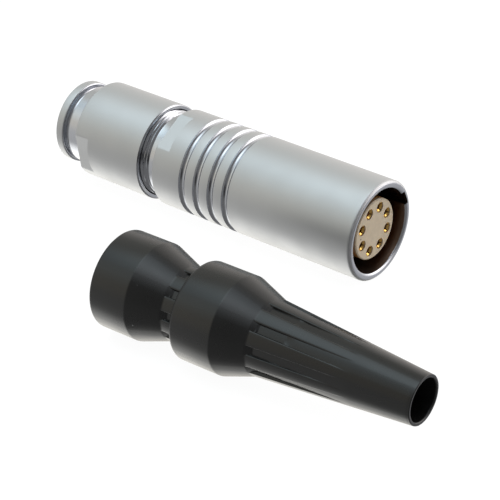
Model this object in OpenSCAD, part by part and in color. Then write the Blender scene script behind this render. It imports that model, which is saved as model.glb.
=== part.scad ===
// Push pull circular connector, in-line receptacle with eight socket contacts,
// with its bend relief boot lying beside it.
// The connector's axis runs along X. The origin is the middle of the mating face,
// the front looks along +X and the cable leaves towards -X. +Z is up.
// Stations along the connector are distances behind the mating face.
// A clock angle is measured about the axis, from straight up towards -Y.

/* [Outer shell] */
// Outside diameter of the turned shell
shell_d = 12.2; // [12:0.1:13]
// Length of the full-diameter part of the shell
shell_len = 29.3; // [28.5:0.1:34]
// Diameter of the bore that takes the plug
mate_bore_d = 10.34; // [10:0.02:10.5]
// Polished lead-in chamfer at the mouth of that bore
lead_in = 0.1; // [0.05:0.05:0.3]
// Rounding of the outer front edge
front_round = 0.25; // [0.1:0.05:0.4]
// Chamfer of the shell's rear edge
rear_chamfer = 0.12; // [0.05:0.01:0.3]
// Clock angle of the keyway and of contact 1
key_clock = -65; // [-180:1:180]
// Width of the keyway
key_w = 2; // [1:0.1:2.6]
// Depth of the keyway below the bore
key_depth = 0.42; // [0.2:0.02:0.5]
// Length of the keyway
key_len = 7.6; // [4:0.1:8]
// Length of the lip that stops the insert
stop_len = 0.8; // [0.6:0.05:1]

/* [Grip grooves] */
// Number of round-bottomed grip grooves
groove_count = 4; // [1:1:4]
// Station of the first groove
groove_first = 18.1; // [16:0.1:19]
// Distance from groove to groove
groove_pitch = 2.17; // [1.4:0.01:2.3]
// Width of one groove
groove_w = 0.92; // [0.5:0.02:1.2]
// Depth of one groove
groove_depth = 0.37; // [0.2:0.01:0.45]

/* [Wrench flats] */
// Size across the flats of the shell and of the back nut
across_flats = 11; // [10.9:0.1:11.6]
// Length of the shell's flats
shell_flat_len = 2; // [1:0.1:2.4]
// Clock angle of the shell's flats
shell_flat_clock = 29.5; // [-180:0.5:180]
// Length of the back nut's flats
nut_flat_len = 2.15; // [1:0.05:2.5]
// Clock angle of the back nut's flats
nut_flat_clock = 99.5; // [-180:0.5:180]

/* [Latch and earth crown] */
// Station of the groove that the plug's latches snap into
latch_at = 3.4; // [3:0.1:4]
// Length of the latch groove
latch_len = 1.3; // [0.8:0.1:1.6]
// Depth of the latch groove
latch_depth = 0.35; // [0.2:0.01:0.45]
// Depth of the mating space
mate_depth = 12.4; // [12:0.1:12.8]
// Length of the slit spring crown
crown_len = 3.2; // [2.6:0.1:3.4]
// Wall of the spring crown
crown_wall = 0.25; // [0.15:0.01:0.35]
// Number of spring fingers on the crown
crown_fingers = 12; // [6:1:16]
// Width of the slits between the fingers
crown_slit = 0.35; // [0.2:0.05:0.5]
// Thickness of the snap ring that holds the crown
ring_t = 0.45; // [0.3:0.05:0.5]
// Radial height of the snap ring
ring_h = 0.5; // [0.4:0.02:0.6]
// Opening of the snap ring, in degrees
ring_open = 36; // [20:1:60]

/* [Insulators] */
// Diameter of the insulator's nose
insulator_d = 7.46; // [7.3:0.02:7.8]
// Distance of the insulator's face behind the mating face
insulator_recess = 0.8; // [0.6:0.02:1.4]
// Chamfer round the insulator's face
insulator_chamfer = 0.12; // [0.05:0.01:0.3]
// Length of the front insulator's collar
front_collar = 3; // [2.6:0.1:3.4]
// Length of the rear insulator
rear_insulator = 3; // [2.6:0.1:4]
// Height of the insulators' collar above the nose
collar_step = 0.42; // [0.35:0.01:0.45]

/* [Contacts] */
// Number of contacts in the ring
contact_count = 8; // [8:1:8]
// Diameter of the ring of contacts
contact_pcd = 5.3; // [5.2:0.02:5.5]
// Outside diameter of a socket
socket_d = 1.26; // [1.2:0.02:1.3]
// Bore of a socket, for a 0.7 mm pin
socket_bore = 0.72; // [0.7:0.01:0.78]
// Depth of the socket's bore
socket_depth = 6; // [4:0.1:8]
// Funnel at the mouth of a socket's bore
socket_funnel = 0.17; // [0.08:0.01:0.18]
// Width of the slits in a socket's spring tines
tine_slit = 0.16; // [0.1:0.01:0.2]
// Length of the spring tines
tine_len = 4; // [3:0.1:5]
// Distance of a socket's tip behind the insulator's face
socket_sunk = 0.14; // [0:0.01:0.4]
// Diameter of the retaining collar on a contact
collar_d = 1.7; // [1.5:0.02:1.76]
// Length of the retaining collar
collar_len = 1.2; // [0.8:0.05:1.6]
// Outside diameter of a solder cup
cup_d = 1.24; // [1.1:0.02:1.3]
// Bore of a solder cup
cup_bore = 0.86; // [0.6:0.02:0.9]
// Length of a solder cup
cup_len = 3.6; // [3:0.1:4]

/* [Insert carriers] */
// Outside diameter of the pair of carrier half shells
carrier_d = 9.3; // [9.26:0.02:9.34]
// Room in the threaded tail behind the carriers, for the clamp
clamp_room = 5.15; // [5:0.05:6]
// Length of the lips that hold the insulators
carrier_lip = 0.8; // [0.5:0.05:1]
// Height of the rear lip that holds the insulators
carrier_lip_h = 0.45; // [0.35:0.01:0.5]
// Wall of the carriers round the wires
carrier_wall = 0.75; // [0.5:0.05:0.9]
// Distance of the side windows behind the rear lip
window_gap = 1; // [0.5:0.1:1.5]
// Length of the side windows over the solder cups
window_len = 5.4; // [3:0.1:6]
// Width of the side windows
window_w = 4.6; // [3:0.1:5.4]

/* [Threaded tail] */
// Outside diameter of the shell's threaded tail
tail_d = 10.8; // [10.7:0.05:10.9]
// Length of the tail behind the shell's rear edge
tail_len = 7.5; // [7:0.1:8]
// Length of the plain undercut next to the shell
undercut_len = 1.2; // [0.8:0.05:1.6]
// Depth of that undercut
undercut_depth = 0.22; // [0.1:0.02:0.26]

/* [Cable clamp] */
// Bore of the collet that grips the cable
collet_bore = 5; // [4.6:0.05:5.2]
// Length of the collet
collet_len = 6.6; // [6.4:0.1:7]
// Number of slits in the collet
collet_slits = 6; // [4:1:8]
// Width of the collet's slits
collet_slit = 0.4; // [0.3:0.05:0.6]
// Length of the collet's closed front end
collet_hub = 1.8; // [1.2:0.1:2.4]
// Wall of the collet at the thin end of its cone
collet_wall = 0.95; // [0.7:0.05:1.2]
// Length of the shield ring in front of the collet
shield_len = 1.4; // [1:0.1:1.6]
// Chamfer inside the shield ring, over which the shield is folded
shield_chamfer = 0.5; // [0.2:0.05:0.8]

/* [Back nut] */
// Outside diameter of the back nut
nut_d = 12.1; // [12:0.05:12.2]
// Gap left between the shell and the half-tightened nut
nut_gap = 2.25; // [1:0.05:2.4]
// Length of the nut's full-diameter part
nut_len = 10.25; // [10.2:0.05:11]
// Diameter of the recess at the nut's mouth
nut_mouth_d = 11.1; // [11.04:0.02:11.2]
// Depth of that recess, up to the start of the thread
nut_mouth_len = 0.6; // [0.3:0.05:1]
// Diameter of the neck behind the nut's body
neck_d = 9.8; // [9:0.05:10]
// Length of that neck
neck_len = 2.05; // [1.5:0.05:2.5]
// Diameter in the groove that the boot snaps into
snap_d = 8.7; // [8.2:0.05:9]
// Length of that groove
snap_len = 0.75; // [0.5:0.05:1]
// Diameter of the end flange
flange_d = 10.3; // [10:0.05:10.6]
// Length of the end flange
flange_len = 1.15; // [0.8:0.05:1.4]
// Bore of the nut for the cable
cable_bore = 5.6; // [5.3:0.05:5.8]

/* [Bend relief boot] */
// Wall of the boot's cap over the nut's end flange
cap_wall = 0.48; // [0.4:0.02:0.7]
// Length of the cap's cylinder
cap_len = 4.95; // [4.7:0.05:5.5]
// Length of the rounding at the cap's open end
cap_round = 0.45; // [0.2:0.05:0.8]
// Flat land that is left round the cap's opening
cap_land = 0.25; // [0.1:0.01:0.3]
// Length of the cone behind the cap
cap_cone = 3.95; // [3:0.05:5]
// Diameter of the waist between the bulbs
waist_d = 8.6; // [8:0.05:9]
// Length of the waist
waist_len = 2.1; // [1.6:0.05:3]
// Length of the second bulb's cylinder
bulb_len = 5.35; // [4:0.05:6]
// Length of the cone behind the second bulb
bulb_cone = 3.8; // [3:0.05:5]
// Diameter where the long taper starts
taper_d = 8.7; // [8.2:0.05:9]
// Length of the long taper
taper_len = 19.25; // [16:0.05:24]
// Outside diameter of the boot's mouth
mouth_d = 5.6; // [5.5:0.05:6]
// Bore of the boot for the cable
boot_bore = 4.8; // [4.6:0.05:4.9]
// Number of flutes round the taper and of pockets round the waist
flute_count = 10; // [6:1:10]
// Clock angle of the first flute
flute_clock = 9; // [0:0.5:36]
// Width of a flute
flute_w = 1.15; // [0.8:0.05:1.3]
// Depth of a flute where it starts
flute_depth = 0.34; // [0.2:0.01:0.4]
// Length of a flute until it fades out
flute_len = 12; // [8:0.1:14]
// Length of the ramp at the start of a flute and of a pocket
flute_ramp = 0.6; // [0.4:0.05:0.8]

/* [Boot beside the connector] */
// Distance from the boot's cap end to the mating face, along the connector
boot_back = 16.9; // [10:0.1:30]
// Distance between the two axes at the boot's cap end
boot_side = 25.5; // [14:0.05:40]
// Angle between the two axes
boot_turn = 1.4; // [-4:0.1:4]

/* [Fits] */
// Radial clearance of turned parts in their bores
turned_fit = 0.05; // [0.03:0.01:0.08]
// Radial clearance of contacts in the insulators
contact_fit = 0.03; // [0.02:0.01:0.05]
// Face clearance between parts that are stacked
stack_fit = 0.05; // [0.02:0.01:0.08]

/* [Hidden] */

$fn = 96;
ARC_STEPS = 8;
CUT = 1;
BRASS = "#c0c2c2";
GOLD = "#d9b25a";
BEIGE = "#c6b593";
BRONZE = "#b9a98a";
BLACK = "#26282a";

shell_r = shell_d / 2;
bore_r = mate_bore_d / 2;
tail_r = tail_d / 2;
nut_r = nut_d / 2;
boot_r = max(flange_d, neck_d) / 2 + turned_fit + cap_wall;
carrier_r = carrier_d / 2;

// Stations of the insert, from front to rear
carrier_at = mate_depth + stop_len + stack_fit;
collar_at = carrier_at + carrier_lip + stack_fit;
rear_insulator_at = collar_at + front_collar + stack_fit;
rear_lip_at = rear_insulator_at + rear_insulator + stack_fit;

// Radii of the insert
nose_r = insulator_d / 2;
collar_r = nose_r + collar_step;
rear_bore_r = carrier_r + turned_fit;
stop_r = collar_r + 2 * turned_fit;
rear_lip_r = collar_r - carrier_lip_h;
wire_r = carrier_r - carrier_wall;
ring_r = contact_pcd / 2;
hole_r = socket_d / 2 + contact_fit;
counterbore_r = collar_d / 2 + contact_fit;
contact_collar_at = rear_insulator_at - stack_fit / 2 - collar_len / 2;
cup_at = rear_insulator_at + rear_insulator + stack_fit;

// Stations of the tail, the clamp and the nut
tail_end = shell_len + tail_len;
carrier_end = tail_end - clamp_room;
carrier_len = carrier_end - carrier_at;
shield_at = carrier_end + nut_gap + stack_fit;
collet_at = shield_at + shield_len + stack_fit;
collet_end = collet_at + collet_len;
nut_at = shell_len + nut_gap;
nut_end = nut_at + nut_len;
neck_end = nut_end + neck_len;
snap_end = neck_end + snap_len;
flange_end = snap_end + flange_len;
thread_r = tail_r + turned_fit;
thread_end = tail_end + nut_gap + 2 * stack_fit;
squeeze_r = collet_bore / 2 + collet_wall;

// Turns a profile of [radius, x] points about the connector's axis
module turned(profile) {
    rotate([0, 90, 0]) rotate_extrude() polygon(profile);
}

// Turns what points up to a clock angle about the connector's axis
module at_clock(angle) {
    rotate([angle, 0, 0]) children();
}

// Repeats a child evenly about the connector's axis
module around(count, first = 0) {
    for (i = [0 : count - 1]) at_clock(first + i * 360 / count) children();
}

// A round hole or rod along the axis, between two stations
module rod(from, to, r) {
    translate([-to, 0, 0]) rotate([0, 90, 0]) cylinder(h = to - from, r = r);
}

// Points of a concave groove in a turned surface, in order towards the rear
function groove_points(station, surface_r) =
    let (half = groove_w / 2,
         r = (half * half + groove_depth * groove_depth) / (2 * groove_depth),
         reach = asin(half / r))
    [for (i = [0 : ARC_STEPS])
        let (a = -reach + 2 * reach * i / ARC_STEPS)
        [surface_r + r - groove_depth - r * cos(a), -station - r * sin(a)]];

// Points of a convex quarter round from a face at x to a cylinder of radius r.
// It takes height off the face and length off the cylinder.
function edge_round(r, x, height, length, facing) =
    [for (i = [0 : ARC_STEPS])
        let (a = 90 * i / ARC_STEPS)
        [r - height + height * sin(a), x - facing * (length - length * cos(a))]];

// A pair of wrench flats, cut from a station to the end of a body
module flats_cut(from, to, clock) {
    at_clock(clock) for (side = [-1, 1])
        translate([-to - CUT, -shell_r, side > 0 ? across_flats / 2 : -across_flats / 2 - CUT])
            cube([to - from + CUT, shell_d, CUT]);
}

// --- Shell ---------------------------------------------------------------

function grip_profile() =
    [for (g = [0 : groove_count - 1])
        each groove_points(groove_first + g * groove_pitch, shell_r)];

function shell_profile() = concat(
    [[bore_r + lead_in, 0]],
    edge_round(shell_r, 0, front_round, front_round, 1),
    grip_profile(),
    [[shell_r, -shell_len + rear_chamfer],
     [shell_r - rear_chamfer, -shell_len],
     [tail_r - undercut_depth, -shell_len],
     [tail_r - undercut_depth, -shell_len - undercut_len],
     [tail_r, -shell_len - undercut_len - undercut_depth],
     [tail_r, -tail_end + undercut_depth],
     [tail_r - undercut_depth, -tail_end],
     [rear_bore_r, -tail_end],
     [rear_bore_r, -mate_depth - stop_len],
     [stop_r, -mate_depth - stop_len],
     [stop_r, -mate_depth],
     [bore_r, -mate_depth]],
    snap_groove_points(),
    [[bore_r, -latch_at - latch_len - latch_depth],
     [bore_r + latch_depth, -latch_at - latch_len],
     [bore_r + latch_depth, -latch_at],
     [bore_r, -latch_at],
     [bore_r, -lead_in]]);

ring_at = mate_depth - crown_len - 2 * stack_fit - ring_t;
ring_groove_r = bore_r + ring_h / 2 + turned_fit;

function snap_groove_points() =
    [[bore_r, -ring_at - ring_t - stack_fit],
     [ring_groove_r, -ring_at - ring_t - stack_fit],
     [ring_groove_r, -ring_at + stack_fit],
     [bore_r, -ring_at + stack_fit]];

module keyway_cut() {
    at_clock(key_clock)
        translate([-key_len, -key_w / 2, bore_r - CUT])
            cube([key_len + CUT, key_w, CUT + key_depth]);
}

module outer_shell() {
    color(BRASS) difference() {
        turned(shell_profile());
        flats_cut(shell_len - shell_flat_len, shell_len - CUT, shell_flat_clock);
        keyway_cut();
    }
}

// --- Spring crown and its snap ring --------------------------------------

crown_r = bore_r - turned_fit;
crown_at = mate_depth - crown_len - stack_fit;
crown_base = 0.9;

module earth_crown() {
    color(BRONZE) difference() {
        turned([[crown_r, -crown_at], [crown_r, -crown_at - crown_len],
                [crown_r - crown_wall, -crown_at - crown_len],
                [crown_r - crown_wall, -crown_at]]);
        around(crown_fingers, key_clock)
            translate([-crown_at - crown_len + crown_base, -crown_slit / 2, nose_r])
                cube([crown_len, crown_slit, bore_r]);
    }
}

module snap_ring() {
    outer = ring_groove_r - turned_fit;
    color(BRONZE) rotate([key_clock, 0, 0]) rotate([0, 90, 0])
        rotate([0, 0, 180 + ring_open / 2])
            rotate_extrude(angle = 360 - ring_open)
                translate([outer - ring_h, -ring_at - ring_t]) square([ring_h, ring_t]);
}

// --- Insulators ----------------------------------------------------------

module contact_holes(from, to, r) {
    around(contact_count, key_clock) translate([0, 0, ring_r]) rod(from, to, r);
}

module insulator_front() {
    color(BEIGE) difference() {
        turned([[0, -insulator_recess],
                [nose_r - insulator_chamfer, -insulator_recess],
                [nose_r, -insulator_recess - insulator_chamfer],
                [nose_r, -collar_at], [collar_r, -collar_at],
                [collar_r, -collar_at - front_collar], [0, -collar_at - front_collar]]);
        contact_holes(insulator_recess - CUT, rear_insulator_at, hole_r);
        contact_holes(contact_collar_at - stack_fit, rear_insulator_at, counterbore_r);
    }
}

module insulator_rear() {
    color(BEIGE) difference() {
        rod(rear_insulator_at, rear_insulator_at + rear_insulator, collar_r);
        contact_holes(rear_insulator_at - CUT, rear_insulator_at + rear_insulator + CUT, hole_r);
        contact_holes(rear_insulator_at - CUT,
                      contact_collar_at + collar_len + stack_fit, counterbore_r);
    }
}

// --- Contacts ------------------------------------------------------------

// Share of a solder cup's length that is bored, and that is cut open at the side,
// and height of that cut above the cup's axis as a share of its diameter
CUP_DEPTH = 0.8;
CUP_OPEN = 0.5;
CUP_CUT = 0.12;

// The room inside a socket: a funnel and the bore for the pin
function socket_profile(tip) =
    let (mouth_r = socket_bore / 2 + socket_funnel)
    [[0, -tip + CUT], [mouth_r, -tip + CUT], [mouth_r, -tip],
     [socket_bore / 2, -tip - socket_funnel], [socket_bore / 2, -tip - socket_depth],
     [0, -tip - socket_depth]];

// One socket contact: four slit tines, retaining collar and solder cup
module contact(number) {
    tip = insulator_recess + socket_sunk;
    cup_end = cup_at + cup_len;
    color(GOLD) at_clock(key_clock + (number - 1) * 360 / contact_count)
        translate([0, 0, ring_r]) difference() {
            union() {
                rod(tip, cup_at, socket_d / 2);
                rod(contact_collar_at, contact_collar_at + collar_len, collar_d / 2);
                rod(cup_at, cup_end, cup_d / 2);
            }
            turned(socket_profile(tip));
            for (turn = [45, 135]) at_clock(turn)
                translate([-tip - tine_len, -tine_slit / 2, -socket_d])
                    cube([tine_len + CUT, tine_slit, 2 * socket_d]);
            rod(cup_end - cup_len * CUP_DEPTH, cup_end + CUT, cup_bore / 2);
            translate([-cup_end - CUT, -cup_d, cup_d * CUP_CUT])
                cube([cup_len * CUP_OPEN + CUT, 2 * cup_d, cup_d]);
        }
}

module contact_1() contact(1);
module contact_2() contact(2);
module contact_3() contact(3);
module contact_4() contact(4);
module contact_5() contact(5);
module contact_6() contact(6);
module contact_7() contact(7);
module contact_8() contact(8);

// --- Insert carriers -----------------------------------------------------

carrier_split = 0.06;

function carrier_profile() =
    [[nose_r + turned_fit, -carrier_at], [carrier_r, -carrier_at],
     [carrier_r, -carrier_end], [wire_r, -carrier_end],
     [wire_r, -rear_lip_at - carrier_lip],
     [rear_lip_r, -rear_lip_at - carrier_lip], [rear_lip_r, -rear_lip_at],
     [collar_r + turned_fit, -rear_lip_at], [collar_r + turned_fit, -collar_at + stack_fit],
     [nose_r + turned_fit, -collar_at + stack_fit]];

// Half of the split carrier, above or below its joint
module carrier_half(side) {
    window_at = rear_lip_at + carrier_lip + window_gap;
    color(BRASS) intersection() {
        difference() {
            turned(carrier_profile());
            translate([-window_at - window_len, -window_w / 2, -carrier_d])
                cube([window_len, window_w, 2 * carrier_d]);
        }
        translate([-carrier_end - CUT, -carrier_d, side > 0 ? carrier_split / 2 : -carrier_d])
            cube([carrier_len + 2 * CUT, 2 * carrier_d, carrier_d - carrier_split / 2]);
    }
}

module carrier_upper() carrier_half(1);
module carrier_lower() carrier_half(-1);

// --- Cable clamp ---------------------------------------------------------

module shield_ring() {
    inner = collet_bore / 2 + 2 * turned_fit;
    color(BRASS) turned([
        [inner, -shield_at], [carrier_r, -shield_at],
        [carrier_r, -shield_at - shield_len],
        [inner + shield_chamfer, -shield_at - shield_len],
        [inner, -shield_at - shield_len + shield_chamfer]]);
}

module collet() {
    color(BRASS) difference() {
        turned([[collet_bore / 2, -collet_at], [carrier_r, -collet_at],
                [carrier_r, -thread_end + stack_fit],
                [squeeze_r, -collet_end], [collet_bore / 2, -collet_end]]);
        around(collet_slits)
            translate([-collet_end - CUT, -collet_slit / 2, 0])
                cube([collet_len - collet_hub + CUT, collet_slit, shell_r]);
    }
}

// --- Back nut ------------------------------------------------------------

edge = 0.15;
thread_bevel = nut_mouth_d / 2 - thread_r;

function nut_profile() = concat(
    [[nut_mouth_d / 2, -nut_at], [nut_r - edge, -nut_at], [nut_r, -nut_at - edge],
     [nut_r, -nut_end + edge], [nut_r - edge, -nut_end],
     [neck_d / 2, -nut_end], [neck_d / 2, -neck_end], [snap_d / 2, -neck_end],
     [snap_d / 2, -snap_end]],
    edge_round(flange_d / 2, -snap_end, edge, edge, 1),
    [for (i = [ARC_STEPS : -1 : 0]) edge_round(flange_d / 2, -flange_end, edge, edge, -1)[i]],
    [[cable_bore / 2 + edge, -flange_end], [cable_bore / 2, -flange_end + edge],
     [cable_bore / 2, -collet_end - stack_fit],
     [squeeze_r + turned_fit, -collet_end - stack_fit],
     [rear_bore_r, -thread_end], [thread_r, -thread_end],
     [thread_r, -nut_at - nut_mouth_len - thread_bevel],
     [nut_mouth_d / 2, -nut_at - nut_mouth_len]]);

module back_nut() {
    color(BRASS) difference() {
        turned(nut_profile());
        flats_cut(nut_end - nut_flat_len, nut_end - CUT, nut_flat_clock);
    }
}

// --- Bend relief boot ----------------------------------------------------

// The boot is drawn with its cap end at the origin and its mouth along +X
cone_at = cap_len;
waist_at = cone_at + cap_cone;
bulb_at = waist_at + waist_len;
bulb_end = bulb_at + bulb_len;
taper_at = bulb_end + bulb_cone;
boot_len = taper_at + taper_len;
neck_room = neck_len;
bead_end = neck_room + snap_len;
flange_room = bead_end + flange_len + 2 * stack_fit;
shoulder_round = 0.45;
cap_bore_r = neck_d / 2 + turned_fit;
wall_lip = 0.12;

function boot_profile() = concat(
    [[cap_bore_r, 0]],
    edge_round(boot_r, 0, boot_r - cap_bore_r - cap_land, cap_round, -1),
    [[boot_r, cone_at], [waist_d / 2, waist_at], [waist_d / 2, bulb_at]],
    edge_round(boot_r, bulb_at, shoulder_round, shoulder_round, -1),
    [[boot_r, bulb_end], [taper_d / 2, taper_at],
     [mouth_d / 2, boot_len - wall_lip], [mouth_d / 2 - wall_lip, boot_len],
     [boot_bore / 2, boot_len], [boot_bore / 2, flange_room],
     [flange_d / 2 + turned_fit, flange_room], [flange_d / 2 + turned_fit, bead_end],
     [snap_d / 2 + turned_fit, bead_end], [snap_d / 2 + turned_fit, neck_room],
     [cap_bore_r, neck_room]]);

// Heights above the surface at which a ramp starts and a flute's floor line ends,
// as shares of the flute's depth, so that both cross the surface cleanly
RAMP_RISE = 0.75;
FADE_RISE = 0.1;

// A straight channel in the boot's outside, cut down to a line of [x, radius] points.
// The ramp down to that line crosses the cone just before its foot.
module channel_cut(foot, foot_r, floor_line) {
    top_r = foot_r + 2 * flute_depth;
    end = floor_line[len(floor_line) - 1];
    rotate([90, 0, 0]) translate([0, 0, -flute_w / 2]) linear_extrude(flute_w)
        polygon(concat([[foot - flute_ramp, foot_r + flute_depth * RAMP_RISE]],
                       [[foot + flute_ramp, foot_r - flute_depth]],
                       floor_line, [[end[0], top_r], [foot - flute_ramp, top_r]]));
}

// One long flute: its floor runs flatter than the taper, so that it fades out
module flute_cut() {
    end = flute_len / taper_len;
    channel_cut(taper_at, taper_d / 2,
                [[taper_at + flute_len,
                  taper_d / 2 * (1 - end) + mouth_d / 2 * end + flute_depth * FADE_RISE]]);
}

// One short pocket in the waist, up to the second bulb
module pocket_cut() {
    channel_cut(waist_at, waist_d / 2, [[bulb_at, waist_d / 2 - flute_depth]]);
}

module boot_body() {
    difference() {
        turned(boot_profile());
        around(flute_count, flute_clock) flute_cut();
        around(flute_count, flute_clock) pocket_cut();
    }
}

module boot() {
    color(BLACK) translate([-boot_back, -boot_side, boot_r - shell_r])
        rotate([0, 0, boot_turn]) boot_body();
}

outer_shell();
earth_crown();
snap_ring();
insulator_front();
insulator_rear();
contact_1();
contact_2();
contact_3();
contact_4();
contact_5();
contact_6();
contact_7();
contact_8();
carrier_upper();
carrier_lower();
shield_ring();
collet();
back_nut();
boot();
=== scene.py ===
import math

import bpy
import numpy as np
from bpy.props import (
    FloatProperty,
    FloatVectorProperty,
    IntProperty,
    PointerProperty,
)
from bpy.types import Operator, Panel, PropertyGroup
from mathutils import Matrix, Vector


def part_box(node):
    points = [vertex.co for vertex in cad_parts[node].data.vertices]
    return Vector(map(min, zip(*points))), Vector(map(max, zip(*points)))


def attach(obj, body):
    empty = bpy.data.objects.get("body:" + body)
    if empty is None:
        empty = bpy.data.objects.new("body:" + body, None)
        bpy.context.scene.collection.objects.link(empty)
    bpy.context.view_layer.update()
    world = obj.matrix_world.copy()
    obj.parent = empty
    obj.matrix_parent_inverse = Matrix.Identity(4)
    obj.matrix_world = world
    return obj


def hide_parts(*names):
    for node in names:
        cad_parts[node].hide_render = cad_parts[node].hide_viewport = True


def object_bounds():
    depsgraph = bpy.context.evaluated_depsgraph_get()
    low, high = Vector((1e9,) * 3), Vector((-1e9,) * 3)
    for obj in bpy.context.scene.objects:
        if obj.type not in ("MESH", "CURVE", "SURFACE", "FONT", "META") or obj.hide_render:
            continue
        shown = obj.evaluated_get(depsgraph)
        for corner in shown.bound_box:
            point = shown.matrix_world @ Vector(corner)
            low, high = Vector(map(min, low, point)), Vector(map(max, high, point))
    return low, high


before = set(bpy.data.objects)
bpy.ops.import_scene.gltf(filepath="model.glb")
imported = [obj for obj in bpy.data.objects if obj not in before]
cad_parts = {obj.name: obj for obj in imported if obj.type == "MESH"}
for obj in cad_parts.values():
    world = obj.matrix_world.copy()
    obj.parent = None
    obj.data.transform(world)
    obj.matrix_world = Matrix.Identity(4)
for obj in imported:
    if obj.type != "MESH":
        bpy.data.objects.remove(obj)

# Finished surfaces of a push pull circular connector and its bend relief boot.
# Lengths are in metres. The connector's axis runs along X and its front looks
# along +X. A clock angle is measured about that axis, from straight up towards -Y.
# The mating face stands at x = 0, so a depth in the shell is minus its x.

bl_info = {
    "name": "Push Pull Connector Finish",
    "version": (1, 0, 0),
    "blender": (4, 5, 0),
    "location": "View3D > Sidebar > Connector",
    "description": "Builds the turned, plated and moulded surfaces of a circular connector",
    "category": "Add Mesh",
}

MM = 0.001
MICRON = 0.001 * MM
CAD_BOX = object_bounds()
SHELL_LOW, SHELL_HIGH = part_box("outer_shell")
NUT_LOW, NUT_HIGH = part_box("back_nut")
NOSE_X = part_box("insulator_front")[1].x


def linear(hex_colour):
    """Linear red, green, blue and alpha of an sRGB hex colour such as #C8CCD0."""
    srgb = [int(hex_colour[i : i + 2], 16) / 255 for i in (1, 3, 5)]
    return tuple(
        c / 12.92 if c <= 0.04045 else ((c + 0.055) / 1.055) ** 2.4 for c in srgb
    ) + (1.0,)


# --- Sizes and colours -------------------------------------------------------


class ShellSizes(PropertyGroup):
    radius: FloatProperty(
        name="Outside radius",
        description="Radius of the turned shell",
        default=SHELL_HIGH.z,
        unit="LENGTH",
    )
    length: FloatProperty(
        name="Shell length",
        description="Length of the full-diameter part",
        default=29.3 * MM,
        unit="LENGTH",
    )
    bore_radius: FloatProperty(
        name="Bore radius",
        description="Radius of the bore that takes the plug",
        default=5.17 * MM,
        unit="LENGTH",
    )
    lead_in: FloatProperty(
        name="Lead-in",
        description="Length of the polished edge at the mouth of the bore",
        default=0.1 * MM,
        unit="LENGTH",
    )
    rim_crest: FloatProperty(
        name="Rim crest",
        description="Distance from the bore to the crest of the rounded front rim",
        default=0.45 * MM,
        unit="LENGTH",
    )
    key_clock: FloatProperty(
        name="Keyway clock angle",
        description="Clock angle of the keyway and of the first contact",
        default=math.radians(-65),
        subtype="ANGLE",
    )
    key_width: FloatProperty(
        name="Keyway width",
        description="Width of the keyway",
        default=2 * MM,
        unit="LENGTH",
    )
    key_depth: FloatProperty(
        name="Keyway depth",
        description="Depth of the keyway below the bore",
        default=0.42 * MM,
        unit="LENGTH",
    )
    key_length: FloatProperty(
        name="Keyway length",
        description="Length of the keyway",
        default=7.6 * MM,
        unit="LENGTH",
    )
    groove_count: IntProperty(
        name="Grip grooves", description="Number of round-bottomed grooves", default=4
    )
    groove_first: FloatProperty(
        name="First groove",
        description="Distance from the mating face to the first groove",
        default=18.1 * MM,
        unit="LENGTH",
    )
    groove_pitch: FloatProperty(
        name="Groove pitch",
        description="Distance from groove to groove",
        default=2.17 * MM,
        unit="LENGTH",
    )
    groove_width: FloatProperty(
        name="Groove width",
        description="Width of one groove",
        default=0.92 * MM,
        unit="LENGTH",
    )
    groove_depth: FloatProperty(
        name="Groove depth",
        description="Depth of one groove",
        default=0.37 * MM,
        unit="LENGTH",
    )
    across_flats: FloatProperty(
        name="Across flats",
        description="Size of the wrench that fits the shell and the back nut",
        default=11 * MM,
        unit="LENGTH",
    )
    flat_length: FloatProperty(
        name="Flat length",
        description="Length of the shell's wrench flats",
        default=2 * MM,
        unit="LENGTH",
    )
    flat_clock: FloatProperty(
        name="Flat clock angle",
        description="Clock angle of the shell's wrench flats",
        default=math.radians(29.5),
        subtype="ANGLE",
    )
    tail_radius: FloatProperty(
        name="Tail radius",
        description="Crest radius of the thread on the tail",
        default=5.4 * MM,
        unit="LENGTH",
    )
    undercut: FloatProperty(
        name="Undercut",
        description="Length of the plain neck between the shoulder and the thread",
        default=1.2 * MM,
        unit="LENGTH",
    )
    rear_bore_radius: FloatProperty(
        name="Rear bore radius",
        description="Radius of the bore behind the stop, which takes the insert",
        default=4.7 * MM,
        unit="LENGTH",
    )
    thread_pitch: FloatProperty(
        name="Thread pitch",
        description="Pitch of the thread on the tail",
        default=0.5 * MM,
        unit="LENGTH",
    )
    thread_depth: FloatProperty(
        name="Thread depth",
        description="Depth of the thread on the tail",
        default=0.22 * MM,
        unit="LENGTH",
    )


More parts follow.
